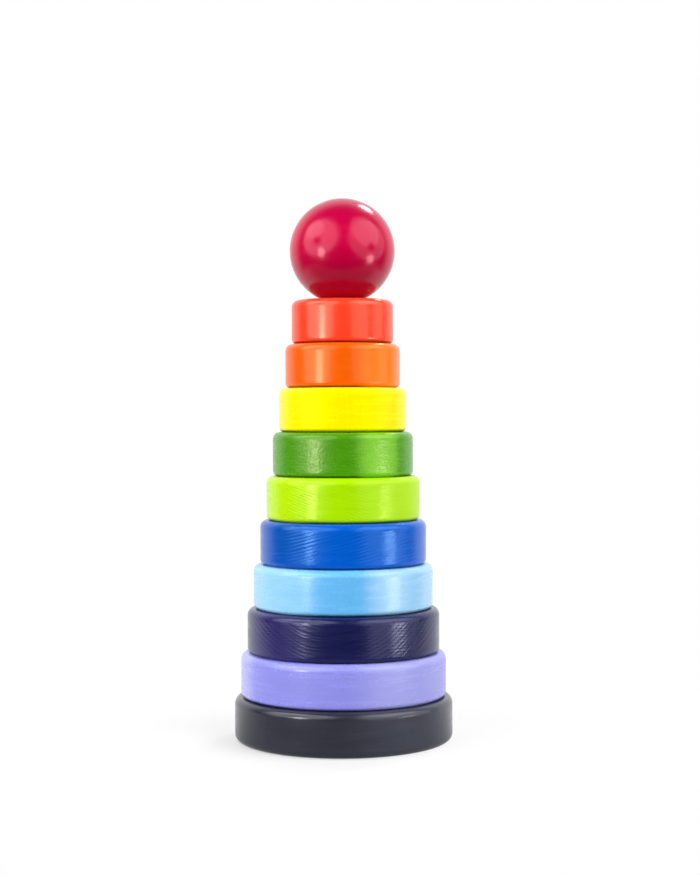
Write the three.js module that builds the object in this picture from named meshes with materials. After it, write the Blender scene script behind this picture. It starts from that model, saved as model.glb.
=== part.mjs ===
// Wooden stacking pyramid: graduated rings and a ball threaded on a peg that stands in a round base.
// Millimetres, +Z up. The origin is the centre of the base's underside.

import * as THREE from 'three';

// Rings: discs sawn from one board, each wider than the one above it
const SMALLEST_RING_DIAMETER = 43.5;
const RING_STEP = 5.5; // growth in diameter from one ring to the next one down
const RING_THICKNESS = 18.75;
const RING_UPPER_ROUND = 3;
const RING_LOWER_ROUND = 2;

// Base: a disc that stands out as a ledge round the widest ring
const BASE_LEDGE = 2.75;
const BASE_THICKNESS = 18.75;
const BASE_EDGE_ROUND = 3;

// Peg: a dowel glued upright in a blind socket in the base
const PEG_DIAMETER = 10;
const PEG_TIP_ROUND = 4;
const PEG_FOOT_BEVEL = 0.5;
const SOCKET_FLOOR = 6; // wood left under the peg
const GLUE_GAP = 0.15; // glue line round the peg, on the radius

// Bores: the drilled holes that let the rings and the ball slide on the peg
const BORE_CLEARANCE = 2; // running gap round the peg, on the radius
const BORE_EASING = 0.4; // bevel where a bore meets a face

// Ball: drilled from below, with a narrow flat round the hole that sits on the top ring
const BALL_DIAMETER = 45;
const BALL_SEAT_LAND = 0.35;
const PEG_REACH_IN_BALL = 20;
const BALL_HOLE_END_GAP = 3; // space left above the peg's tip

// Fineness of the turned surfaces
const TURNED_SIDES = 48;
const EDGE_ROUND_STEPS = 3;
const BALL_STEPS = 16;

// Paint, from the widest ring at the bottom to the narrowest at the top
const RINGS = [
  { name: 'lavender_ring', colour: 0x9696f0 },
  { name: 'indigo_ring', colour: 0x161848 },
  { name: 'sky_blue_ring', colour: 0x66b8f2 },
  { name: 'blue_ring', colour: 0x0059c7 },
  { name: 'lime_ring', colour: 0xabe601 },
  { name: 'green_ring', colour: 0x489704 },
  { name: 'yellow_ring', colour: 0xfef200 },
  { name: 'orange_ring', colour: 0xf86001 },
  { name: 'coral_ring', colour: 0xfd4123 },
];
const BASE_COLOUR = 0x353541;
const BALL_COLOUR = 0xcd0040;
const BARE_WOOD_COLOUR = 0xdcbb8c;
const PAINT_ROUGHNESS = 0.35;
const BARE_WOOD_ROUGHNESS = 0.65;

// Sizes that follow from the ones above
const PEG_RADIUS = PEG_DIAMETER / 2;
const BORE_RADIUS = PEG_RADIUS + BORE_CLEARANCE;
const BORE_MOUTH_RADIUS = BORE_RADIUS + BORE_EASING;
const SOCKET_RADIUS = PEG_RADIUS + GLUE_GAP;
const WIDEST_RING_DIAMETER = SMALLEST_RING_DIAMETER + (RINGS.length - 1) * RING_STEP;
const BASE_RADIUS = WIDEST_RING_DIAMETER / 2 + BASE_LEDGE;
const STACK_TOP = BASE_THICKNESS + RINGS.length * RING_THICKNESS;
const PEG_LENGTH = STACK_TOP + PEG_REACH_IN_BALL - SOCKET_FLOOR;
const QUARTER_TURN = Math.PI / 2;

// A point of a profile: its distance from the axis and its height.
function point(radius, height) {
  return new THREE.Vector2(radius, height);
}

// Points along a round stretch of a profile.
function arc(centreRadius, centreHeight, round, startAngle, endAngle, steps) {
  const curve = new THREE.ArcCurve(centreRadius, centreHeight, round, startAngle, endAngle);
  return curve.getPoints(steps);
}

// The outside of a disc with rounded rims, from its lower face up to its upper face.
function discRim(radius, thickness, lowerRound, upperRound) {
  return [
    ...arc(radius - lowerRound, lowerRound, lowerRound, -QUARTER_TURN, 0, EDGE_ROUND_STEPS),
    ...arc(radius - upperRound, thickness - upperRound, upperRound, 0, QUARTER_TURN, EDGE_ROUND_STEPS),
  ];
}

// A solid of revolution about +Z.
function turned(profile) {
  const geometry = new THREE.LatheGeometry(profile, TURNED_SIDES);
  geometry.rotateX(QUARTER_TURN);
  return geometry;
}

// A disc with a blind socket for the peg in its upper face.
function baseGeometry() {
  return turned([
    point(0, 0),
    ...discRim(BASE_RADIUS, BASE_THICKNESS, BASE_EDGE_ROUND, BASE_EDGE_ROUND),
    point(SOCKET_RADIUS, BASE_THICKNESS),
    point(SOCKET_RADIUS, SOCKET_FLOOR),
    point(0, SOCKET_FLOOR),
  ]);
}

// A dowel with a bevelled foot and a rounded tip.
function pegGeometry() {
  const tipInset = PEG_RADIUS - PEG_TIP_ROUND;
  const tipStart = PEG_LENGTH - PEG_TIP_ROUND;
  return turned([
    point(0, 0),
    point(PEG_RADIUS - PEG_FOOT_BEVEL, 0),
    point(PEG_RADIUS, PEG_FOOT_BEVEL),
    ...arc(tipInset, tipStart, PEG_TIP_ROUND, 0, QUARTER_TURN, EDGE_ROUND_STEPS),
    point(0, PEG_LENGTH),
  ]);
}

// A disc with a bore right through it; the profile closes on itself.
function ringGeometry(radius) {
  const start = point(BORE_RADIUS, BORE_EASING);
  return turned([
    start,
    point(BORE_MOUTH_RADIUS, 0),
    ...discRim(radius, RING_THICKNESS, RING_LOWER_ROUND, RING_UPPER_ROUND),
    point(BORE_MOUTH_RADIUS, RING_THICKNESS),
    point(BORE_RADIUS, RING_THICKNESS - BORE_EASING),
    start,
  ]);
}

// A ball with its seat at height 0 and a blind hole for the peg's tip.
function ballGeometry() {
  const radius = BALL_DIAMETER / 2;
  const seatRadius = BORE_MOUTH_RADIUS + BALL_SEAT_LAND;
  const centreHeight = Math.sqrt(radius ** 2 - seatRadius ** 2);
  const seatAngle = -Math.acos(seatRadius / radius);
  const holeDepth = PEG_REACH_IN_BALL + BALL_HOLE_END_GAP;
  return turned([
    point(0, holeDepth),
    point(BORE_RADIUS, holeDepth),
    point(BORE_RADIUS, BORE_EASING),
    point(BORE_MOUTH_RADIUS, 0),
    point(seatRadius, 0),
    ...arc(0, centreHeight, radius, seatAngle, QUARTER_TURN, BALL_STEPS).slice(1),
  ]);
}

// A painted or bare piece, standing at its height in the stack.
function piece(name, geometry, height, color, roughness) {
  const material = new THREE.MeshStandardMaterial({ color, roughness, metalness: 0 });
  const mesh = new THREE.Mesh(geometry, material);
  mesh.name = name;
  mesh.position.z = height;
  return mesh;
}

const pyramid = new THREE.Group();
pyramid.name = 'stacking_pyramid';

pyramid.add(piece('black_base', baseGeometry(), 0, BASE_COLOUR, PAINT_ROUGHNESS));
pyramid.add(piece('centre_peg', pegGeometry(), SOCKET_FLOOR, BARE_WOOD_COLOUR, BARE_WOOD_ROUGHNESS));

RINGS.forEach(({ name, colour }, index) => {
  const radius = (WIDEST_RING_DIAMETER - index * RING_STEP) / 2;
  const height = BASE_THICKNESS + index * RING_THICKNESS;
  pyramid.add(piece(name, ringGeometry(radius), height, colour, PAINT_ROUGHNESS));
});

pyramid.add(piece('red_ball', ballGeometry(), STACK_TOP, BALL_COLOUR, PAINT_ROUGHNESS));

export default pyramid;
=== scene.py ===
"""Looks of a wooden stacking pyramid: painted rings and a ball on a beech peg in a black base.

Metres, +Z up. Every piece is turned about the upright axis and stands where the frame puts it.
"""

import logging
import math
from abc import ABC, abstractmethod
from collections.abc import Mapping
from dataclasses import dataclass
from enum import Enum
from functools import cache

import bmesh
import bpy
import numpy as np
from mathutils import Matrix, Vector


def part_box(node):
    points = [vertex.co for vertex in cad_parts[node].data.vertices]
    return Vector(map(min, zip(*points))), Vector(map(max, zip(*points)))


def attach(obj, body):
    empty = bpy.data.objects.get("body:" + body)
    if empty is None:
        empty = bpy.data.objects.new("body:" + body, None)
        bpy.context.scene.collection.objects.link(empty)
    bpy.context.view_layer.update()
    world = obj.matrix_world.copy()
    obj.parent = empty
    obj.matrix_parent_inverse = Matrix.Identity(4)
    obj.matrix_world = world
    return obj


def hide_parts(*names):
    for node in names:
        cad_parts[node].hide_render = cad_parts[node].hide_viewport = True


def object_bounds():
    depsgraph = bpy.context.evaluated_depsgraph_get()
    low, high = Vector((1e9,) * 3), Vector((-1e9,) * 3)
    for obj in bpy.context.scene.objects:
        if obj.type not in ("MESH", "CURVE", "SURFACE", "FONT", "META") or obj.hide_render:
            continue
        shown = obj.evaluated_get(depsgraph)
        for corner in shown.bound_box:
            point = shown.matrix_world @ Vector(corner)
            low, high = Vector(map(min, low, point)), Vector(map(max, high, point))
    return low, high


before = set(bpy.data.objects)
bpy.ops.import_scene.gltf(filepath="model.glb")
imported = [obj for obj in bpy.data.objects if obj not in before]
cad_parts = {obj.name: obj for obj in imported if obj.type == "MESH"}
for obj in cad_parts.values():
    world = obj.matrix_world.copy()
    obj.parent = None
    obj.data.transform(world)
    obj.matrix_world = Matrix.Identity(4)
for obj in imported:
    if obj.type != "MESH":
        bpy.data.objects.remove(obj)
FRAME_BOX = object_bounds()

LOG = logging.getLogger("stacking_pyramid")

MM = 0.001
MICRON = 0.000001

# Turned surfaces
TURNED_SIDES = 192
ROUND_STEPS = 14
WALL_STEPS = 16
FACE_STEPS = 6
SHARP_EDGE = math.radians(35)
AXIS_TOLERANCE = 0.001 * MM
FACE_GAP = 0.02 * MM  # keeps stacked faces out of one plane

# Sizes that the boxes of the frame don't give
BORE_RADIUS = 7 * MM
BORE_EASING = 0.4 * MM
RIM_ROUND = 3 * MM
RING_LOWER_ROUND = 2 * MM

# Walls that hand finishing left out of round
WAVE_ORDERS = (2, 3, 5, 9, 14)  # waves in one turn
WAVE_LEAN = 0.4  # how far a wave may shift from the foot to the top, in radians
WALL_START = 0.75  # share of the radius from which a point belongs to the wall

# Wood: features per metre along each axis, limits that a noise is read between, and shares
GRAIN_DRIFT = (12, 70, 70)
FIBRES = (90, 2200, 2200)
FIBRE_LIMITS = (0.3, 0.7)
LATE_WOOD_START = (0.2, 0.86)  # parts of a year
LATE_WOOD_END = (0.88, 1.0)
SUMMER_CHANGE = 0.37  # how fast good and bad summers follow one another
SUMMER_SPREAD = 1.6  # years by which they shift the growth rings
FLECKS = (2600, 2600, 420)
FLECK_LIMITS = (0.62, 0.7)
WOOD_GLOSS_SPREAD = (-0.06, 0.08)  # what the fibres add to the roughness

# Paint, in the same terms
PAINT_IOR = 1.62
BRUSH_STROKES = (40, 40, 420)
PIGMENT = (850, 850, 1100)
PIGMENT_SHARE = 0.25  # of the brushing
TONE_LIMITS = (0.36, 0.64)
GLOSS_LIMITS = (0.35, 0.65)
GLOSS_SPREAD = (-0.03, 0.05)  # what the brushing adds to the roughness
NIBS = 210
NIB_RADIUS = 0.07  # share of a nib's own cell
BARE_CELLS = 0.86  # share of the cells without a nib
GRAIN_SHADOW = 0.2  # tone of the paint in the deepest grain
RIM_LIGHTENING_LIMITS = (0.25, 0.75)
LEAST_RIM_LIGHTENING = 0.55  # least share of the rim lightening, which stands for thin paint and a painted highlight
PAINTED_CREASE_SHADE_LIMITS = (1.3 * MM, 0.325 * MM)  # heights where the painted shade along a foot ends and where it is full
PATCH_STROKES = (70, 70, 420)
PATCH_RAGGEDNESS = 0.6  # how far brush strokes run over the edge of a patch

# Sanding marks, in the same terms
MARK_WOBBLE = (55, 55, 160)
MARKS_ROUND = 45.0
MARKS_PER_PITCH = 1.4
EVEN_SHARE = 0.3  # of even ridges among the uneven ones
MARK_PATCHES = (60, 60, 130)
MARK_LIMITS = (0.38, 0.62)
FAINTEST_MARKS = 0.25

# Nodes
NOISE_MIDDLE = 0.5
MIX_COLOUR_INPUTS = (6, 7)
MIX_COLOUR_OUTPUT = 2

Point2 = tuple[float, float]
Point3 = tuple[float, float, float]
Colour = tuple[float, float, float, float]
Socket = bpy.types.NodeSocket


def linear(hex_colour: str, gain: float = 1.0) -> Colour:
    """Turns a paint chart's hex colour into a linear colour.

    Args:
        hex_colour: Six hex digits, red first.
        gain: Factor on the linear values.

    Returns:
        Red, green, blue and a full alpha.
    """
    channels = [int(hex_colour[i:i + 2], 16) / 255 for i in (0, 2, 4)]
    curved = [c / 12.92 if c <= 0.04045 else ((c + 0.055) / 1.055) ** 2.4 for c in channels]
    red, green, blue = (min(1.0, c * gain) for c in curved)
    return red, green, blue, 1.0


class NodeSheet:
    """A node tree with short ways to add nodes and join them."""

    def __init__(self, tree: bpy.types.NodeTree) -> None:
        """Keeps the tree that the nodes go into."""
        self.tree = tree

    def join(self, source: Socket, target: Socket) -> None:
        """Links an output to an input."""
        self.tree.links.new(source, target)

    def add(self, kind: str, inputs: Mapping | None = None, **settings: object) -> bpy.types.Node:
        """Adds a node, with its settings and inputs.

        Args:
            kind: The node's type name.
            inputs: Values or sockets by input name or number.
            **settings: Properties of the node.

        Returns:
            The new node.
        """
        node = self.tree.nodes.new(kind)
        for name, value in settings.items():
            setattr(node, name, value)
        for key, value in (inputs or {}).items():
            if isinstance(value, Socket):
                self.join(value, node.inputs[key])
            else:
                node.inputs[key].default_value = value
        return node

    def math(self, operation: str, *operands: float | Socket) -> Socket:
        """Adds a Math node and returns its result."""
        return self.add("ShaderNodeMath", dict(enumerate(operands)), operation=operation).outputs[0]

    def vector(self, operation: str, *operands: Point3 | Socket) -> Socket:
        """Adds a Vector Math node and returns its vector."""
        node = self.add("ShaderNodeVectorMath", dict(enumerate(operands)), operation=operation)
        return node.outputs["Vector"]

    def dot(self, first: Socket, second: Point3 | Socket) -> Socket:
        """Adds a dot product and returns its value."""
        node = self.add("ShaderNodeVectorMath", {0: first, 1: second}, operation="DOT_PRODUCT")
        return node.outputs["Value"]

    def split(self, point: Socket) -> Mapping:
        """Parts a point into its X, Y and Z sockets."""
        return self.add("ShaderNodeSeparateXYZ", {"Vector": point}).outputs

    def ramp(
        self,
        value: Socket,
        low: float | Socket,
        high: float | Socket,
        start: float | Socket = 0.0,
        end: float | Socket = 1.0,
    ) -> Socket:
        """Eases a value from start to end while it goes from low to high.

        Args:
            value: What is eased.
            low: The value that gives start.
            high: The value that gives end.
            start: First result.
            end: Last result.

        Returns:
            The eased value.
        """
        inputs = {"Value": value, "From Min": low, "From Max": high, "To Min": start, "To Max": end}
        node = self.add("ShaderNodeMapRange", inputs, interpolation_type="SMOOTHSTEP")
        return node.outputs["Result"]

    def noise(self, point: Socket, stretch: Point3, detail: float) -> bpy.types.Node:
        """Adds a noise with its own scale along each axis.

        Args:
            point: Where the noise is read, in metres.
            stretch: Features per metre along X, Y and Z.
            detail: Octaves.

        Returns:
            The noise node.
        """
        scaled = self.vector("MULTIPLY", point, stretch)
        return self.add("ShaderNodeTexNoise", {"Vector": scaled, "Scale": 1.0, "Detail": detail})

    def group(self, tree: bpy.types.NodeTree, inputs: Mapping) -> Mapping:
        """Places a node group with its own inputs and returns its outputs."""
        return self.add("ShaderNodeGroup", inputs, node_tree=tree).outputs

    def mix(self, factor: Socket, first: Colour | Socket, second: Colour | Socket) -> Socket:
        """Mixes two colours.

        Args:
            factor: Share of the second colour.
            first: The first colour.
            second: The second colour.

        Returns:
            The mixed colour.
        """
        colours = dict(zip(MIX_COLOUR_INPUTS, (first, second)))
        node = self.add("ShaderNodeMix", {"Factor": factor, **colours}, data_type="RGBA")
        return node.outputs[MIX_COLOUR_OUTPUT]


def new_group(
    name: str, inputs: Mapping[str, str], outputs: tuple[str, ...]
) -> tuple[NodeSheet, Mapping, Mapping]:
    """Starts a shader node group.

    Args:
        name: The group's name.
        inputs: Kind of each input, Float or Vector, by name.
        outputs: Names of the values that it puts out.

    Returns:
        The group's sheet, the sockets to read from and the sockets to write to.
    """
    tree = bpy.data.node_groups.new(name, "ShaderNodeTree")
    for key, kind in inputs.items():
        tree.interface.new_socket(name=key, in_out="INPUT", socket_type=f"NodeSocket{kind}")
    for key in outputs:
        tree.interface.new_socket(name=key, in_out="OUTPUT", socket_type="NodeSocketFloat")
    return (
        NodeSheet(tree),
        tree.nodes.new("NodeGroupInput").outputs,
        tree.nodes.new("NodeGroupOutput").inputs,
    )


@cache
def growth_rings() -> bpy.types.NodeTree:
    """Makes the growth rings and fibres of a board, once.

    Returns:
        A group whose Late Wood is 1 where a year's growth is hardest, and whose Fibre varies across
        the grain.
    """
    sizes = {"Pith Across": "Float", "Pith Height": "Float", "Ring Width": "Float", "Waviness": "Float"}
    sheet, read, write = new_group(
        "Growth rings", {"Point": "Vector", "Turn": "Vector", **sizes}, ("Late Wood", "Fibre")
    )
    turned = sheet.add(
        "ShaderNodeVectorRotate",
        {"Vector": read["Point"], "Rotation": read["Turn"]},
        rotation_type="EULER_XYZ",
    ).outputs["Vector"]
    drift = sheet.noise(turned, GRAIN_DRIFT, detail=1).outputs["Color"]
    centred = sheet.vector("SUBTRACT", drift, (NOISE_MIDDLE,) * 3)
    shift = sheet.add("ShaderNodeVectorMath", {0: centred, "Scale": read["Waviness"]}, operation="SCALE")
    place = sheet.split(sheet.vector("ADD", turned, shift.outputs["Vector"]))
    across = sheet.math("SUBTRACT", place["Y"], read["Pith Across"])
    up = sheet.math("SUBTRACT", place["Z"], read["Pith Height"])
    squares = sheet.math("ADD", sheet.math("POWER", across, 2), sheet.math("POWER", up, 2))
    years = sheet.math("DIVIDE", sheet.math("SQRT", squares), read["Ring Width"])
    summers = sheet.add(
        "ShaderNodeTexNoise", {"W": years, "Scale": SUMMER_CHANGE, "Detail": 1}, noise_dimensions="1D"
    )
    part = sheet.math("FRACT", sheet.math("MULTIPLY_ADD", summers.outputs[0], SUMMER_SPREAD, years))
    rise = sheet.ramp(part, *LATE_WOOD_START)
    fall = sheet.ramp(part, *LATE_WOOD_END, 1.0, 0.0)
    sheet.join(sheet.math("MULTIPLY", rise, fall), write["Late Wood"])
    sheet.join(sheet.noise(turned, FIBRES, detail=2).outputs[0], write["Fibre"])
    return sheet.tree


@cache
def paint_skin() -> bpy.types.NodeTree:
    """Makes the skin that paint dries to, once.

    Returns:
        A group with the fine Peel of the surface, the Brushing of its thickness and small raised Nibs.
    """
    sheet, read, write = new_group(
        "Paint skin", {"Point": "Vector", "Peel Size": "Float"}, ("Peel", "Brushing", "Nib")
    )
    per_metre = sheet.math("DIVIDE", 1.0, read["Peel Size"])
    peel = sheet.add("ShaderNodeTexNoise", {"Vector": read["Point"], "Scale": per_metre, "Detail": 1.5})
    strokes = sheet.noise(read["Point"], BRUSH_STROKES, detail=2).outputs[0]
    pigment = sheet.noise(read["Point"], PIGMENT, detail=1).outputs[0]
    stroke_part = sheet.math("MULTIPLY", strokes, 1 - PIGMENT_SHARE)
    cells = sheet.add("ShaderNodeTexVoronoi", {"Vector": read["Point"], "Scale": NIBS})
    nib = sheet.ramp(cells.outputs["Distance"], 0.0, NIB_RADIUS, 1.0, 0.0)
    chosen = sheet.add("ShaderNodeSeparateColor", {"Color": cells.outputs["Color"]}).outputs["Red"]
    kept = sheet.math("GREATER_THAN", chosen, BARE_CELLS)
    sheet.join(peel.outputs[0], write["Peel"])
    sheet.join(sheet.math("MULTIPLY_ADD", pigment, PIGMENT_SHARE, stroke_part), write["Brushing"])
    sheet.join(sheet.math("MULTIPLY", nib, kept), write["Nib"])
    return sheet.tree


@cache
def sanding_marks() -> bpy.types.NodeTree:
    """Makes the marks that the sanding belt leaves round a disc, once.

    Returns:
        A group whose Marks run round the piece, rise to the right by Slope, and come and go in patches.
    """
    sheet, read, write = new_group(
        "Sanding marks", {"Point": "Vector", "Pitch": "Float", "Slope": "Float"}, ("Marks",)
    )
    place = sheet.split(read["Point"])
    risen = sheet.math("MULTIPLY", place["X"], read["Slope"])
    ridges = sheet.math("DIVIDE", sheet.math("SUBTRACT", place["Z"], risen), read["Pitch"])
    wobble = sheet.noise(read["Point"], MARK_WOBBLE, detail=1).outputs[0]
    even = sheet.math("SINE", sheet.math("MULTIPLY", sheet.math("ADD", ridges, wobble), math.tau))
    run = sheet.add(
        "ShaderNodeCombineXYZ",
        {
            "X": sheet.math("MULTIPLY", place["X"], MARKS_ROUND),
            "Y": sheet.math("MULTIPLY", place["Y"], MARKS_ROUND),
            "Z": sheet.math("MULTIPLY", ridges, MARKS_PER_PITCH),
        },
    ).outputs[0]
    lines = sheet.add("ShaderNodeTexNoise", {"Vector": run, "Scale": 1.0, "Detail": 1}).outputs[0]
    uneven = sheet.math("SUBTRACT", lines, NOISE_MIDDLE)
    patch = sheet.noise(read["Point"], MARK_PATCHES, detail=1).outputs[0]
    strength = sheet.ramp(patch, *MARK_LIMITS, FAINTEST_MARKS, 1.0)
    marks = sheet.math("MULTIPLY", sheet.math("MULTIPLY_ADD", even, EVEN_SHARE, uneven), strength)
    sheet.join(marks, write["Marks"])
    return sheet.tree


@cache
def rim_mask() -> bpy.types.NodeTree:
    """Makes the masks of a disc's two rounded rims and of the painted shade along its foot, once.

    Returns:
        A group whose Rim rises to 1 at the lower and upper faces of a piece of that Height, and whose
        Crease rises to 1 at the lower face alone, where shade is painted along the foot.
    """
    sheet, read, write = new_group(
        "Rim mask", {"Point": "Vector", "Height": "Float", "Round": "Float"}, ("Rim", "Crease")
    )
    up = sheet.split(read["Point"])["Z"]
    nearest = sheet.math("MINIMUM", up, sheet.math("SUBTRACT", read["Height"], up))
    sheet.join(sheet.ramp(nearest, read["Round"], 0.0), write["Rim"])
    sheet.join(sheet.ramp(up, *PAINTED_CREASE_SHADE_LIMITS), write["Crease"])
    return sheet.tree


@cache
def side_mask() -> bpy.types.NodeTree:
    """Makes the mask of one side of a piece, once.

    Returns:
        A group whose Mask is 1 on the side that Toward points to, and fades until the turn away from
        it, as 1 less its cosine, reaches Spread.
    """
    sheet, read, write = new_group(
        "Side mask", {"Point": "Vector", "Toward": "Vector", "Spread": "Float"}, ("Mask",)
    )
    flat = sheet.vector("NORMALIZE", sheet.vector("MULTIPLY", read["Point"], (1, 1, 0)))
    away = sheet.math("SUBTRACT", 1.0, sheet.dot(flat, read["Toward"]))
    brushed = sheet.noise(read["Point"], PATCH_STROKES, detail=3).outputs[0]
    strokes = sheet.math("MULTIPLY", sheet.math("SUBTRACT", brushed, NOISE_MIDDLE), PATCH_RAGGEDNESS)
    ragged = sheet.math("MULTIPLY_ADD", strokes, read["Spread"], away)
    sheet.join(sheet.ramp(ragged, read["Spread"], 0.0), write["Mask"])
    return sheet.tree


class Cut(Enum):
    """How a disc's board was sawn: how far the pith lies from the disc, across the fibres and up."""

    FLAT_SAWN = (4 * MM, 42 * MM)
    FLAT_SAWN_TURNED_OVER = (-6 * MM, -38 * MM)
    RIFT_SAWN = (46 * MM, 40 * MM)
    QUARTER_SAWN = (75 * MM, 6 * MM)


class Sheen(Enum):
    """How far a surface spreads a reflection, as its roughness."""

    GLOSS = 0.18
    SEMI_GLOSS = 0.2
    SATIN = 0.24
    BARE = 0.58


@dataclass(frozen=True)
class BoardGrain:
    """The grain that a piece has from its board, and how much of it stands up under the paint."""

    cut: Cut
    fibre_turn: float  # degrees about the upright axis, or off it where the fibres run along it
    ring_width: float
    relief: float
    waviness: float = 2.4 * MM
    fibre_relief: float = 2 * MICRON
    lengthwise: bool = False  # the fibres run along the piece's axis

    def place(self, sheet: NodeSheet, point: Socket) -> Mapping:
        """Adds the growth rings to a material.

        Args:
            sheet: The material's nodes.
            point: The piece's own coordinates.

        Returns:
            The Late Wood and Fibre sockets.
        """
        across, up = self.cut.value
        lean = math.pi / 2 if self.lengthwise else 0.0
        turn = (0.0, lean, math.radians(-self.fibre_turn))
        inputs = {
            "Point": point,
            "Turn": turn,
            "Pith Across": across,
            "Pith Height": up,
            "Ring Width": self.ring_width,
            "Waviness": self.waviness,
        }
        return sheet.group(growth_rings(), inputs)


@dataclass(frozen=True)
class BeltMarks:
    """The fine ridges that sanding leaves under the paint."""

    pitch: float = 1.2 * MM
    slope: float = 0.0  # rise to the right
    depth: float = 4 * MICRON

    def place(self, sheet: NodeSheet, point: Socket) -> Socket:
        """Adds the marks to a material.

        Args:
            sheet: The material's nodes.
            point: The piece's own coordinates.

        Returns:
            The marks, above 0 on a ridge and below 0 beside it.
        """
        inputs = {"Point": point, "Pitch": self.pitch, "Slope": self.slope}
        return sheet.group(sanding_marks(), inputs)["Marks"]


@dataclass(frozen=True)
class Side:
    """A side of a piece, whose edge is ragged with brush strokes."""

    azimuth: float  # degrees to the right of the camera's side
    spread: float  # degrees to each side

    def mask(self, sheet: NodeSheet, point: Socket) -> Socket:
        """Marks the side in a material.

        Args:
            sheet: The material's nodes.
            point: The piece's own coordinates.

        Returns:
            A mask that is 1 in the middle of the side.
        """
        turn = math.radians(self.azimuth)
        toward = (math.sin(turn), -math.cos(turn), 0.0)
        spread = 1 - math.cos(math.radians(self.spread))
        return sheet.group(side_mask(), {"Point": point, "Toward": toward, "Spread": spread})["Mask"]


@dataclass(frozen=True)
class DullPatch(Side):
    """A side that was rubbed dull."""

    added_roughness: float


@dataclass(frozen=True)
class PaintedLightPatch(Side):
    """A side painted in another tone for the light that falls on it: a painted highlight where it is
    lighter, painted shade where it is darker.
    """

    colour: str
    share: float

    def place(self, sheet: NodeSheet, point: Socket, coat: Socket) -> Socket:
        """Mixes the patch's painted light into a coat.

        Args:
            sheet: The material's nodes.
            point: The piece's own coordinates.
            coat: The coat's colour.

        Returns:
            The colour with the patch in it.
        """
        share = sheet.math("MULTIPLY", self.mask(sheet, point), self.share)
        return sheet.mix(share, coat, linear(self.colour))


@dataclass(frozen=True)
class PaintedShadeRun:
    """Painted shade that darkens a piece toward its foot or its crown, where less light falls on it."""

    colour: str
    reach: tuple[float, float]  # heights at which it is deepest and has gone

    def place(self, sheet: NodeSheet, point: Socket, coat: Socket) -> Socket:
        """Mixes the painted shade into a coat.

        Args:
            sheet: The material's nodes.
            point: The piece's own coordinates.
            coat: The coat's colour.

        Returns:
            The colour with the deeper tone in it.
        """
        # how deep the painted shade is at each height
        depth = sheet.ramp(sheet.split(point)["Z"], *self.reach, 1.0, 0.0)
        return sheet.mix(depth, coat, linear(self.colour))


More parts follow.
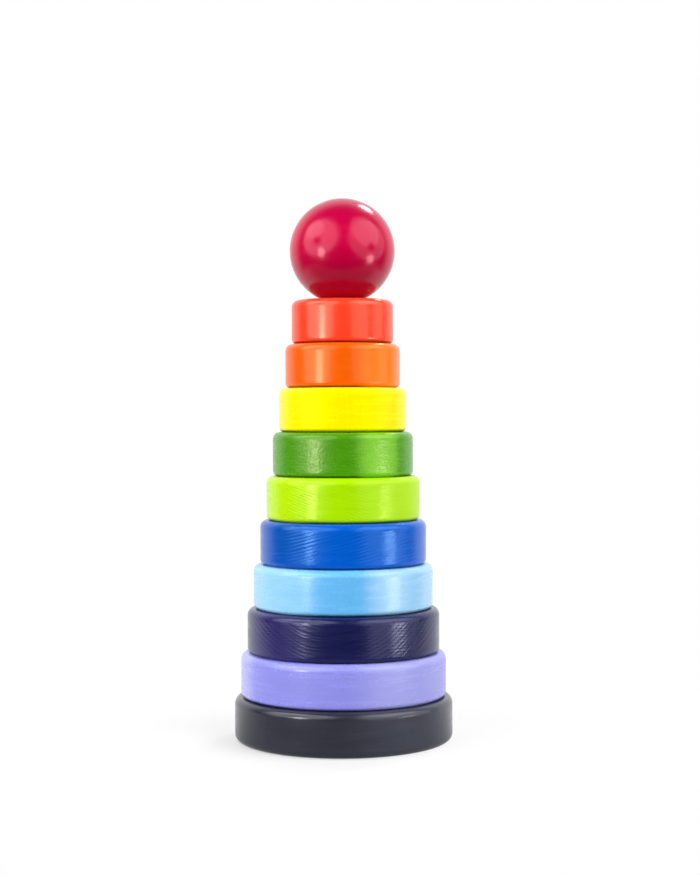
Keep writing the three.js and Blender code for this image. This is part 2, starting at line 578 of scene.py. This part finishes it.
@dataclass(frozen=True)
class Paint:
    """A coat of paint over a piece's wood."""

    slot: str
    colour: str
    grain: BoardGrain
    sheen: Sheen = Sheen.SATIN
    marks: BeltMarks = BeltMarks()
    patches: tuple[PaintedLightPatch | PaintedShadeRun, ...] = ()
    dull: tuple[DullPatch, ...] = ()
    tone_spread: float = 0.025  # share of the colour by which thick and thin paint differ
    rim_thin_paint_and_highlight_gain: float = 1.12  # how much lighter the paint is over a rim, where it thins and where a highlight is painted
    grain_shade: float = 0.03  # how much darker the paint is over late wood
    painted_crease_shade: float = 0.3  # tone of the painted shade along the foot
    highlight: str = "ffffff"  # the hue that its highlights take
    peel_size: float = 1.6 * MM
    peel_depth: float = 5 * MICRON
    nib_height: float = 3 * MICRON

    def material(self, height: float) -> bpy.types.Material:
        """Makes the painted finish.

        Args:
            height: Height of the piece, which sets where its rims are.

        Returns:
            The material.
        """
        material, sheet, shader = new_material(self.slot)
        point = sheet.add("ShaderNodeTexCoord").outputs["Object"]
        grain = self.grain.place(sheet, point)
        skin = sheet.group(paint_skin(), {"Point": point, "Peel Size": self.peel_size})
        marks = self.marks.place(sheet, point)
        rims = sheet.group(rim_mask(), {"Point": point, "Height": height, "Round": RIM_ROUND})
        coat = self._coat(sheet, grain, skin, rims)
        # the side patches paint highlights and shade into the coat, and the runs paint shade toward a foot
        # or a crown
        for patch in self.patches:
            coat = patch.place(sheet, point, coat)
        sheet.join(coat, shader.inputs["Base Color"])
        sheet.join(self._roughness(sheet, point, skin["Brushing"]), shader.inputs["Roughness"])
        raise_surface(sheet, shader, self._relief(sheet, grain, skin, marks))
        shader.inputs["Specular Tint"].default_value = linear(self.highlight)
        shader.inputs["IOR"].default_value = PAINT_IOR
        return material

    def _coat(self, sheet: NodeSheet, grain: Mapping, skin: Mapping, rims: Mapping) -> Socket:
        """Varies the colour with the paint's thickness, the wood below and the rims, and paints shade
        along the foot.

        Args:
            sheet: The material's nodes.
            grain: The wood's sockets.
            skin: The paint skin's sockets.
            rims: The rim mask's sockets.

        Returns:
            The coat's colour.
        """
        thick = linear(self.colour, 1 - self.tone_spread)
        thin = linear(self.colour, 1 + self.tone_spread)
        coat = sheet.mix(sheet.ramp(skin["Brushing"], *TONE_LIMITS), thick, thin)
        shade = sheet.math("MULTIPLY", grain["Late Wood"], self.grain_shade)
        shaded = sheet.mix(shade, coat, linear(self.colour, GRAIN_SHADOW))
        # rims are lighter, for thinner paint and as a painted highlight
        rim_lightening = sheet.ramp(skin["Peel"], *RIM_LIGHTENING_LIMITS, LEAST_RIM_LIGHTENING, 1.0)
        rim_light_share = sheet.math("MULTIPLY", rims["Rim"], rim_lightening)
        rim_lightened = sheet.mix(rim_light_share, shaded, linear(self.colour, self.rim_thin_paint_and_highlight_gain))
        # painted shade: darker paint along the foot, where the contact shade falls
        return sheet.mix(rims["Crease"], rim_lightened, linear(self.colour, self.painted_crease_shade))

    def _roughness(self, sheet: NodeSheet, point: Socket, brushing: Socket) -> Socket:
        """Varies the gloss with the brushing and over the dull sides.

        Args:
            sheet: The material's nodes.
            point: The piece's own coordinates.
            brushing: How the paint was brushed out.

        Returns:
            The roughness.
        """
        smoothest, roughest = (self.sheen.value + change for change in GLOSS_SPREAD)
        rough = sheet.ramp(brushing, *GLOSS_LIMITS, smoothest, roughest)
        for patch in self.dull:
            rough = sheet.math("MULTIPLY_ADD", patch.mask(sheet, point), patch.added_roughness, rough)
        return rough

    def _relief(self, sheet: NodeSheet, grain: Mapping, skin: Mapping, marks: Socket) -> Socket:
        """Adds up the grain, the peel, the nibs and the sanding marks that stand up in the paint.

        Args:
            sheet: The material's nodes.
            grain: The wood's sockets.
            skin: The paint skin's sockets.
            marks: The sanding marks.

        Returns:
            The height in metres.
        """
        relief = sheet.math("MULTIPLY", grain["Late Wood"], self.grain.relief)
        relief = sheet.math("MULTIPLY_ADD", grain["Fibre"], self.grain.fibre_relief, relief)
        relief = sheet.math("MULTIPLY_ADD", skin["Peel"], self.peel_depth, relief)
        relief = sheet.math("MULTIPLY_ADD", skin["Nib"], self.nib_height, relief)
        return sheet.math("MULTIPLY_ADD", marks, self.marks.depth, relief)


@dataclass(frozen=True)
class BareBeech:
    """Unpainted beech, as the peg has."""

    slot: str
    early_colour: str
    late_colour: str
    fleck_colour: str
    grain: BoardGrain
    late_share: float = 0.7  # of the growth rings in the tone, beside the fibres
    fleck_share: float = 0.55  # of the flecks' colour in a fleck
    handled_share: float = 0.25  # of the darker tone at the ends
    handled_gain: float = 0.8  # that tone, as a factor on the late wood's

    def material(self, height: float) -> bpy.types.Material:
        """Makes the bare wood.

        Args:
            height: Length of the piece, which darkens slightly at its ends.

        Returns:
            The material.
        """
        material, sheet, shader = new_material(self.slot)
        point = sheet.add("ShaderNodeTexCoord").outputs["Object"]
        grain = self.grain.place(sheet, point)
        rims = sheet.group(rim_mask(), {"Point": point, "Height": height, "Round": RIM_ROUND})
        sheet.join(self._tone(sheet, point, grain, rims["Rim"]), shader.inputs["Base Color"])
        smoothest, roughest = (Sheen.BARE.value + change for change in WOOD_GLOSS_SPREAD)
        rough = sheet.ramp(grain["Fibre"], *FIBRE_LIMITS, smoothest, roughest)
        sheet.join(rough, shader.inputs["Roughness"])
        relief = sheet.math("MULTIPLY", grain["Late Wood"], self.grain.relief)
        relief = sheet.math("MULTIPLY_ADD", grain["Fibre"], self.grain.fibre_relief, relief)
        raise_surface(sheet, shader, relief)
        return material

    def _tone(self, sheet: NodeSheet, point: Socket, grain: Mapping, rim: Socket) -> Socket:
        """Varies the wood's colour with its growth, its flecks and the hands that hold its ends.

        Args:
            sheet: The material's nodes.
            point: The piece's own coordinates.
            grain: The wood's sockets.
            rim: The mask of the ends.

        Returns:
            The wood's colour.
        """
        fibres = sheet.math("MULTIPLY", grain["Fibre"], 1 - self.late_share)
        year = sheet.math("MULTIPLY_ADD", grain["Late Wood"], self.late_share, fibres)
        wood = sheet.mix(year, linear(self.early_colour), linear(self.late_colour))
        flecks = sheet.ramp(sheet.noise(point, FLECKS, detail=0).outputs[0], *FLECK_LIMITS)
        fleck = sheet.math("MULTIPLY", flecks, self.fleck_share)
        flecked = sheet.mix(fleck, wood, linear(self.fleck_colour))
        handled = sheet.math("MULTIPLY", rim, self.handled_share)
        return sheet.mix(handled, flecked, linear(self.late_colour, self.handled_gain))


def new_material(name: str) -> tuple[bpy.types.Material, NodeSheet, bpy.types.Node]:
    """Starts a material.

    Args:
        name: The material's name.

    Returns:
        The material, its node sheet and its Principled shader.
    """
    material = bpy.data.materials.new(name)
    material.use_nodes = True
    shader = material.node_tree.nodes["Principled BSDF"]
    return material, NodeSheet(material.node_tree), shader


def raise_surface(sheet: NodeSheet, shader: bpy.types.Node, height: Socket) -> None:
    """Raises a shader's surface by a height in metres."""
    bump = sheet.add("ShaderNodeBump", {"Strength": 1.0, "Distance": 1.0, "Height": height})
    sheet.join(bump.outputs["Normal"], shader.inputs["Normal"])


def arc(centre: Point2, radius: float, start: float, end: float, steps: int = ROUND_STEPS) -> list[Point2]:
    """Gives the points of a round stretch of a profile.

    Args:
        centre: Distance from the axis, and height, of the arc's centre.
        radius: The arc's radius.
        start: First angle in degrees, from straight outwards.
        end: Last angle in degrees.
        steps: Number of steps.

    Returns:
        The points, both ends among them.
    """
    angles = np.radians(np.linspace(start, end, steps + 1))
    return [(centre[0] + radius * math.cos(a), centre[1] + radius * math.sin(a)) for a in angles]


def stretch(start: Point2, end: Point2, steps: int) -> list[Point2]:
    """Gives the points between the ends of a straight stretch of a profile, without the ends."""
    shares = [i / steps for i in range(1, steps)]
    return [tuple(a + (b - a) * share for a, b in zip(start, end)) for share in shares]


def rounded_rim(radius: float, height: float, inner: float, lower: float) -> list[Point2]:
    """Gives a disc's profile from its lower face, round its rims and back in over its upper face.

    Args:
        radius: The disc's radius.
        height: The disc's height.
        inner: Radius where the faces begin and end.
        lower: Rounding of the lower rim.

    Returns:
        The points, from the lower face's inner end to the upper face's.
    """
    lower_round = arc((radius - lower, lower), lower, -90, 0)
    upper_round = arc((radius - RIM_ROUND, height - RIM_ROUND), RIM_ROUND, 0, 90)
    return [
        (inner, 0.0),
        *stretch((inner, 0.0), lower_round[0], FACE_STEPS),
        *lower_round,
        *stretch(lower_round[-1], upper_round[0], WALL_STEPS),
        *upper_round,
        *stretch(upper_round[-1], (inner, height), FACE_STEPS),
        (inner, height),
    ]


@dataclass
class TurnedPiece(ABC):
    """A piece turned on the upright axis, which stands for one node of the frame."""

    name: str
    node: str
    body: str
    finish: Paint | BareBeech
    seed: int
    out_of_round: float = 0.03 * MM
    closed: bool = False  # the profile ends where it starts

    def __post_init__(self) -> None:
        """Takes the piece's radius, foot and height from the frame."""
        low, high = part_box(self.node)
        self.radius = (high.x - low.x) / 2
        self.foot = low.z + FACE_GAP
        self.height = high.z - low.z - 2 * FACE_GAP

    @abstractmethod
    def profile(self) -> list[Point2]:
        """Gives the outline that is turned, as distances from the axis and heights above the foot."""

    def build(self) -> bpy.types.Object:
        """Turns the profile into a mesh and stands it in its place.

        Returns:
            The new object.
        """
        mesh = bpy.data.meshes.new(self.name)
        shape = bmesh.new()
        corners = [shape.verts.new((r, 0.0, z)) for r, z in self.profile()]
        for first, second in zip(corners, corners[1:]):
            shape.edges.new((first, second))
        if self.closed:
            shape.edges.new((corners[-1], corners[0]))
        bmesh.ops.spin(
            shape,
            geom=shape.verts[:] + shape.edges[:],
            cent=(0, 0, 0),
            axis=(0, 0, 1),
            angle=math.tau,
            steps=TURNED_SIDES,
            use_merge=True,
        )
        bmesh.ops.remove_doubles(shape, verts=shape.verts[:], dist=AXIS_TOLERANCE)
        bmesh.ops.recalc_face_normals(shape, faces=shape.faces[:])
        self.wander(shape)
        shape.to_mesh(mesh)
        shape.free()
        mesh.shade_smooth()
        mesh.set_sharp_from_angle(angle=SHARP_EDGE)
        piece = bpy.data.objects.new(self.name, mesh)
        piece.location.z = self.foot
        bpy.context.scene.collection.objects.link(piece)
        return piece

    def wander(self, shape: bmesh.types.BMesh) -> None:
        """Moves the outer wall slightly out of round, as hand finishing does.

        Args:
            shape: The turned mesh, which is changed.
        """
        draw = np.random.default_rng(self.seed)
        waves = [
            (order, draw.uniform(0, math.tau), draw.uniform(-WAVE_LEAN, WAVE_LEAN))
            for order in WAVE_ORDERS
        ]
        for vert in shape.verts:
            outward = math.hypot(vert.co.x, vert.co.y)
            share = (outward / self.radius - WALL_START) / (1 - WALL_START)
            if share <= 0:
                continue
            angle = math.atan2(vert.co.y, vert.co.x)
            twist = vert.co.z / self.height
            swing = sum(math.cos(n * angle + phase + lean * twist * n) / n for n, phase, lean in waves)
            scale = 1 + self.out_of_round * swing * min(1.0, share) / outward
            vert.co.x *= scale
            vert.co.y *= scale

    def dress(self, piece: bpy.types.Object) -> None:
        """Gives the piece its finish and hangs it on its body.

        Args:
            piece: The built object, which is changed.
        """
        piece.data.materials.append(self.finish.material(self.height))
        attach(piece, self.body)
        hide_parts(self.node)


@dataclass
class Base(TurnedPiece):
    """The black foot, with the peg's socket in its upper face."""

    socket_radius: float = 5.15 * MM
    socket_floor: float = 6 * MM

    def profile(self) -> list[Point2]:
        """Gives the disc's outline with its socket.

        Returns:
            The points, from the middle of the underside to the middle of the socket's floor.
        """
        floor = self.socket_floor - FACE_GAP
        rim = rounded_rim(self.radius, self.height, self.socket_radius, RIM_ROUND)
        return [(0.0, 0.0), *rim, (self.socket_radius, floor), (0.0, floor)]


@dataclass
class Peg(TurnedPiece):
    """The beech dowel, with a bevelled foot and a rounded tip."""

    tip_round: float = 4 * MM
    foot_bevel: float = 0.5 * MM

    def profile(self) -> list[Point2]:
        """Gives the dowel's outline.

        Returns:
            The points, from the middle of the foot to the middle of the tip.
        """
        tip = arc((self.radius - self.tip_round, self.height - self.tip_round), self.tip_round, 0, 90)
        shoulder = (self.radius, self.foot_bevel)
        return [
            (0.0, 0.0),
            (self.radius - self.foot_bevel, 0.0),
            shoulder,
            *stretch(shoulder, tip[0], WALL_STEPS),
            *tip,
            (0.0, self.height),
        ]


@dataclass
class Ring(TurnedPiece):
    """A painted ring with a bore right through it."""

    closed: bool = True

    def profile(self) -> list[Point2]:
        """Gives the ring's outline, which closes on itself along the bore.

        Returns:
            The points, from the bore's lower mouth out round the rims and back down the bore.
        """
        upper = (BORE_RADIUS, self.height - BORE_EASING)
        lower = (BORE_RADIUS, BORE_EASING)
        rim = rounded_rim(self.radius, self.height, BORE_RADIUS + BORE_EASING, RING_LOWER_ROUND)
        return [lower, *rim, upper, *stretch(upper, lower, FACE_STEPS)]


@dataclass
class Ball(TurnedPiece):
    """The ball, with its narrow seat and the blind hole for the peg's tip."""

    seat_radius: float = 7.75 * MM
    hole_depth: float = 23 * MM
    steps: int = 96

    def profile(self) -> list[Point2]:
        """Gives the ball's outline with its seat and its hole.

        Returns:
            The points, from the top of the hole, out round the seat and over the crown.
        """
        centre = (0.0, self.height - self.radius)
        seat_angle = -math.degrees(math.acos(self.seat_radius / self.radius))
        mouth = (BORE_RADIUS, BORE_EASING)
        top = (BORE_RADIUS, self.hole_depth)
        crown = arc(centre, self.radius, seat_angle, 90, self.steps)
        return [
            (0.0, self.hole_depth),
            top,
            *stretch(top, mouth, FACE_STEPS),
            mouth,
            (BORE_RADIUS + BORE_EASING, 0.0),
            (self.seat_radius, 0.0),
            *crown[1:-1],
            (0.0, self.height),
        ]


@dataclass(frozen=True)
class PhotoCamera:
    """The photograph's viewpoint, level with the middle of the stack."""

    image_width: int = 700
    image_height: int = 875
    focal_pixels: float = 1708.0
    horizon_row: float = 409.6
    axis_column: float = 342.75
    distance: float = 0.732
    eye_height: float = 0.1407
    roll: float = -0.0035
    nearest: float = 0.01  # what is closer isn't drawn

    def place(self) -> bpy.types.Object:
        """Makes the scene's camera.

        Returns:
            The camera object.
        """
        data = bpy.data.cameras.new("photo_camera")
        data.lens = self.focal_pixels * data.sensor_width / self.image_height
        data.shift_y = (self.horizon_row - self.image_height / 2) / self.image_height
        data.clip_start = self.nearest
        camera = bpy.data.objects.new("photo_camera", data)
        sideways = (self.image_width / 2 - self.axis_column) * self.distance / self.focal_pixels
        upright = Matrix.Rotation(math.pi / 2, 4, "X") @ Matrix.Rotation(self.roll, 4, "Z")
        camera.matrix_world = Matrix.Translation((sideways, -self.distance, self.eye_height)) @ upright
        bpy.context.scene.collection.objects.link(camera)
        bpy.context.scene.camera = camera
        return camera


def direction(azimuth: float, elevation: float) -> Vector:
    """Gives the unit vector toward a place in the studio.

    Args:
        azimuth: Degrees to the right of the camera's side.
        elevation: Degrees above the horizon.

    Returns:
        The direction from the toy.
    """
    side, up = math.radians(azimuth), math.radians(elevation)
    return Vector((math.sin(side) * math.cos(up), -math.cos(side) * math.cos(up), math.sin(up)))


@dataclass(frozen=True)
class LampHub:
    """The dark middle of an umbrella lamp, where its ribs meet, as seen from the toy."""

    azimuth: float  # degrees to the right of the camera's side
    elevation: float  # degrees above the horizon
    inner_angle: float = 4.5  # quite dark up to this many degrees from its middle
    outer_angle: float = 11.0  # gone beyond this many

    def place(self, lamp: bpy.types.Light, target: Vector) -> None:
        """Darkens a lamp where its hub is.

        Args:
            lamp: The lamp's data.
            target: Where the lamp points.
        """
        lamp.use_nodes = True
        sheet = NodeSheet(lamp.node_tree)
        point = sheet.add("ShaderNodeNewGeometry").outputs["Position"]
        ray = sheet.vector("NORMALIZE", sheet.vector("SUBTRACT", point, tuple(target)))
        facing = sheet.dot(ray, tuple(direction(self.azimuth, self.elevation)))
        outer, inner = (math.cos(math.radians(angle)) for angle in (self.outer_angle, self.inner_angle))
        level = sheet.ramp(facing, outer, inner, 1.0, 0.0)
        sheet.join(level, lamp.node_tree.nodes["Emission"].inputs["Strength"])


@dataclass(frozen=True)
class SoftLamp:
    """A round soft light, placed by its direction from the toy."""

    name: str
    azimuth: float  # degrees to the right of the camera's side
    elevation: float  # degrees above the horizon
    distance: float
    half_angles: tuple[float, float]  # how wide and how tall the toy sees it, to each side
    radiance: float
    hub: LampHub | None = None

    def place(self, target: Vector) -> None:
        """Makes the lamp and points it at a target.

        Args:
            target: The point that the lamp faces.
        """
        wide, tall = (self.distance * math.tan(math.radians(angle)) for angle in self.half_angles)
        data = bpy.data.lights.new(self.name, "AREA")
        data.shape = "ELLIPSE"
        data.size = 2 * wide
        data.size_y = 2 * tall
        area = math.pi * wide * tall
        data.energy = math.pi * area * self.radiance
        if self.hub:
            self.hub.place(data, target)
        lamp = bpy.data.objects.new(self.name, data)
        away = direction(self.azimuth, self.elevation)
        lamp.location = target + away * self.distance
        lamp.rotation_euler = away.to_track_quat("Z", "Y").to_euler()
        lamp.visible_camera = False
        bpy.context.scene.collection.objects.link(lamp)


@dataclass(frozen=True)
class Studio:
    """The pale table, the white sweep behind it and the soft lamps."""

    lamps: tuple[SoftLamp, ...]
    table_front: float = -0.21
    table_back: float = 1.2
    table_half_width: float = 0.45
    table_colour: str = "f8f7f6"
    table_roughness: float = 0.7
    bounce_colour: str = "8c8c8e"  # what the table throws back onto the toy
    table_whitening: tuple[float, float] = (0.42, 0.85)  # share of its own white, left and right
    whitening_turn: tuple[float, float] = (-0.005, 0.045)  # from where to where that share rises
    shadow_reach: tuple[float, float] = (0.055, 0.13)  # the table fades to white between these
    mirrored_front: float = 0.35  # level of the table's white in reflections, in front of the toy
    mirrored_turn: tuple[float, float] = (-0.08, 0.08)  # from where to where that level rises to full
    sweep_edge: tuple[float, float] = (0.2, 0.6)  # how far behind the toy the white sweep begins
    room_level: float = 0.03  # light from the dark side of the room

    def place(self) -> None:
        """Builds the table, the world and the lamps."""
        self._table()
        self._world()
        middle = (FRAME_BOX[0] + FRAME_BOX[1]) / 2
        for lamp in self.lamps:
            lamp.place(middle)

    def _table(self) -> None:
        """Lays the table under the toy."""
        mesh = bpy.data.meshes.new("table")
        side = self.table_half_width
        corners = [
            (-side, self.table_front, 0.0),
            (side, self.table_front, 0.0),
            (side, self.table_back, 0.0),
            (-side, self.table_back, 0.0),
        ]
        mesh.from_pydata(corners, [], [(0, 1, 2, 3)])
        mesh.materials.append(self._table_white())
        table = bpy.data.objects.new("table", mesh)
        bpy.context.scene.collection.objects.link(table)

    def _table_white(self) -> bpy.types.Material:
        """Makes the table's finish, which keeps the toy's shadow and fades to white away from it.

        Returns:
            The material.
        """
        material, sheet, shader = new_material("table_white")
        shader.inputs["Roughness"].default_value = self.table_roughness
        point = sheet.add("ShaderNodeTexCoord").outputs["Object"]
        place = sheet.split(point)
        far = sheet.add("ShaderNodeVectorMath", {0: point}, operation="LENGTH").outputs["Value"]
        near_white = sheet.ramp(place["X"], *self.whitening_turn, *self.table_whitening)
        seen_white = sheet.ramp(far, *self.shadow_reach, near_white, 1.0)
        path = sheet.add("ShaderNodeLightPath").outputs
        seen = path["Is Camera Ray"]
        tone = sheet.mix(seen, linear(self.bounce_colour), linear(self.table_colour))
        sheet.join(tone, shader.inputs["Base Color"])
        mirrored = sheet.ramp(place["Y"], *self.mirrored_turn, self.mirrored_front, 1.0)
        level = sheet.math("MAXIMUM", seen, mirrored)
        white = sheet.add("ShaderNodeEmission", {"Color": (1, 1, 1, 1), "Strength": level})
        share = sheet.math("MULTIPLY_ADD", seen_white, seen, path["Is Glossy Ray"])
        mixed = sheet.add("ShaderNodeMixShader", {0: share, 1: shader.outputs[0], 2: white.outputs[0]})
        sheet.join(mixed.outputs[0], material.node_tree.nodes["Material Output"].inputs["Surface"])
        return material

    def _world(self) -> None:
        """Surrounds the toy with a white sweep behind it and a dim room in front."""
        world = bpy.data.worlds.new("studio")
        world.use_nodes = True
        sheet = NodeSheet(world.node_tree)
        behind = sheet.split(sheet.add("ShaderNodeTexCoord").outputs["Generated"])["Y"]
        sweep = sheet.ramp(behind, *self.sweep_edge, self.room_level, 1.0)
        seen = sheet.add("ShaderNodeLightPath").outputs["Is Camera Ray"]
        background = world.node_tree.nodes["Background"]
        background.inputs["Color"].default_value = (1, 1, 1, 1)
        sheet.join(sheet.math("MAXIMUM", seen, sweep), background.inputs["Strength"])
        bpy.context.scene.world = world


BLACK_PAINT = Paint(
    "black_paint",
    "272733",
    BoardGrain(Cut.RIFT_SAWN, 25, 1.5 * MM, 5 * MICRON),
    sheen=Sheen.SEMI_GLOSS,
    marks=BeltMarks(1.3 * MM, 0.0, 7 * MICRON),
    # painted reflection of the right lamp on the base's right side
    patches=(PaintedLightPatch(46, 50, "3e414f", 0.7),),
    tone_spread=0.06,
    # lighter rims: thin paint and a painted highlight
    rim_thin_paint_and_highlight_gain=1.3,
    highlight="f2f4ff",
)
BEECH = BareBeech(
    "bare_beech",
    "e2c496",
    "cda673",
    "b98c5c",
    BoardGrain(Cut.RIFT_SAWN, 2, 1.7 * MM, 6 * MICRON, lengthwise=True),
)
RED_PAINT = Paint(
    "red_paint",
    "cc0040",
    BoardGrain(Cut.QUARTER_SAWN, 60, 1.8 * MM, 0.5 * MICRON, fibre_relief=0.0),
    sheen=Sheen.GLOSS,
    marks=BeltMarks(depth=0.5 * MICRON),
    # the ball is painted darker toward its seat and toward its crown, as painted shade
    patches=(PaintedShadeRun("a8002e", (3 * MM, 25 * MM)), PaintedShadeRun("bb0040", (42 * MM, 25 * MM))),
    highlight="ffb4c2",
    peel_size=4 * MM,
    peel_depth=4 * MICRON,
    nib_height=1 * MICRON,
    tone_spread=0.015,
    rim_thin_paint_and_highlight_gain=1.0,
    painted_crease_shade=0.8,
)
# The side patches below are painted light: the lighter ones painted highlights, the blue ring's darker one
# painted shade.
RING_PAINTS = {
    "lavender": Paint(
        "lavender_paint",
        "9292ec",
        BoardGrain(Cut.RIFT_SAWN, 70, 1.7 * MM, 5 * MICRON),
        marks=BeltMarks(1.4 * MM, 0.05, 10 * MICRON),
        patches=(PaintedLightPatch(40, 40, "b6b8f8", 0.5), PaintedLightPatch(-78, 22, "cccbfe", 0.5)),
        tone_spread=0.045,
    ),
    "indigo": Paint(
        "indigo_paint",
        "14174a",
        BoardGrain(Cut.FLAT_SAWN, 88, 1.6 * MM, 26 * MICRON),
        sheen=Sheen.SEMI_GLOSS,
        marks=BeltMarks(1.2 * MM, 0.0, 14 * MICRON),
        patches=(PaintedLightPatch(-48, 32, "31286b", 0.6),),
        tone_spread=0.1,
        grain_shade=0.1,
        highlight="dcdcff",
    ),
    "sky_blue": Paint(
        "sky_blue_paint",
        "68bcf6",
        BoardGrain(Cut.RIFT_SAWN, 60, 1.7 * MM, 10 * MICRON),
        marks=BeltMarks(1.5 * MM, 0.5, 22 * MICRON),
        patches=(
            PaintedLightPatch(-56, 44, "a6defe", 0.8),
            PaintedLightPatch(36, 26, "b2dffd", 0.7),
            PaintedLightPatch(74, 28, "c0e6fe", 0.65),
        ),
    ),
    "blue": Paint(
        "blue_paint",
        "005bca",
        BoardGrain(Cut.RIFT_SAWN, 95, 1.5 * MM, 6 * MICRON),
        sheen=Sheen.SEMI_GLOSS,
        marks=BeltMarks(1.4 * MM, 0.26, 58 * MICRON),
        patches=(PaintedLightPatch(-58, 46, "0050b0", 0.8),),
        highlight="98d2ff",
    ),
    "lime": Paint(
        "lime_paint",
        "ace701",
        BoardGrain(Cut.FLAT_SAWN_TURNED_OVER, 20, 1.2 * MM, 7 * MICRON),
        sheen=Sheen.SEMI_GLOSS,
        marks=BeltMarks(1.2 * MM, -0.36, 40 * MICRON),
        patches=(PaintedLightPatch(-60, 40, "c6f000", 0.7), PaintedLightPatch(70, 30, "c0ee08", 0.5)),
        dull=(DullPatch(66, 44, 0.2),),
        highlight="ffff98",
    ),
    "green": Paint(
        "green_paint",
        "489704",
        BoardGrain(Cut.FLAT_SAWN_TURNED_OVER, 100, 1.0 * MM, 6 * MICRON),
        marks=BeltMarks(1.2 * MM, 0.0, 14 * MICRON),
        patches=(PaintedLightPatch(32, 24, "84d624", 0.7),),
        highlight="ffffc4",
        peel_size=0.95 * MM,
        peel_depth=105 * MICRON,
    ),
    "yellow": Paint(
        "yellow_paint",
        "fef200",
        BoardGrain(Cut.QUARTER_SAWN, 40, 1.7 * MM, 1 * MICRON),
        highlight="fff200",
    ),
    "orange": Paint(
        "orange_paint",
        "f86001",
        BoardGrain(Cut.QUARTER_SAWN, 10, 1.7 * MM, 1 * MICRON),
        sheen=Sheen.SEMI_GLOSS,
        patches=(PaintedLightPatch(52, 42, "fd8204", 0.8),),
        highlight="ffe8b0",
    ),
    "coral": Paint(
        "coral_paint",
        "fd4123",
        BoardGrain(Cut.RIFT_SAWN, 75, 1.7 * MM, 0.5 * MICRON),
        sheen=Sheen.SEMI_GLOSS,
        highlight="ffffdb",
    ),
}
# Each umbrella's hub, on its near and its far lamp
LEFT_HUB = LampHub(-57, 26)
LEFT_HUB_FAR = LampHub(-57, 19.5)
RIGHT_HUB = LampHub(66, 12)
RIGHT_HUB_FAR = LampHub(66, 7)
STUDIO = Studio(
    lamps=(
        SoftLamp("left_umbrella", -52, 28, 2.4, (42, 38), 0.7, LEFT_HUB_FAR),
        SoftLamp("left_umbrella_heart", -53, 29, 0.58, (36, 34), 1.6, LEFT_HUB),
        SoftLamp("left_umbrella_top", -75, 44, 0.57, (19, 15), 1.4),
        SoftLamp("right_umbrella", 61, 20, 2.4, (44, 38), 1.2, RIGHT_HUB_FAR),
        SoftLamp("right_umbrella_heart", 61, 40, 0.66, (28, 28), 1.6, RIGHT_HUB),
        SoftLamp("left_core", -46, 1.5, 0.7, (7.5, 10.5), 7.5),
        SoftLamp("right_core", 66, -9.5, 0.7, (8.5, 8), 7.5),
        SoftLamp("back_lamp", 149, 49, 1.0, (6, 6), 16.0),
    )
)


def pieces() -> list[TurnedPiece]:
    """Lists the toy's pieces from the table up.

    Returns:
        The base, the peg, the rings and the ball.
    """
    rings = [
        Ring(f"{body}_ring_turned", f"{body}_ring", body, paint, seed=seed)
        for seed, (body, paint) in enumerate(RING_PAINTS.items(), start=3)
    ]
    return [
        Base("black_base_turned", "black_base", "base", BLACK_PAINT, seed=1),
        Peg("beech_peg", "centre_peg", "base", BEECH, seed=2),
        *rings,
        Ball("red_ball_turned", "red_ball", "ball", RED_PAINT, seed=20),
    ]


def main() -> None:
    """Builds and dresses the toy, then sets up the view and the light."""
    logging.basicConfig(level=logging.INFO, format="%(name)s: %(message)s")
    bpy.context.scene.view_settings.view_transform = "Standard"
    PhotoCamera().place()
    STUDIO.place()
    for piece in pieces():
        piece.dress(piece.build())
        LOG.info("%s stands for %s on body %s", piece.name, piece.node, piece.body)


if __name__ == "__main__":
    main()
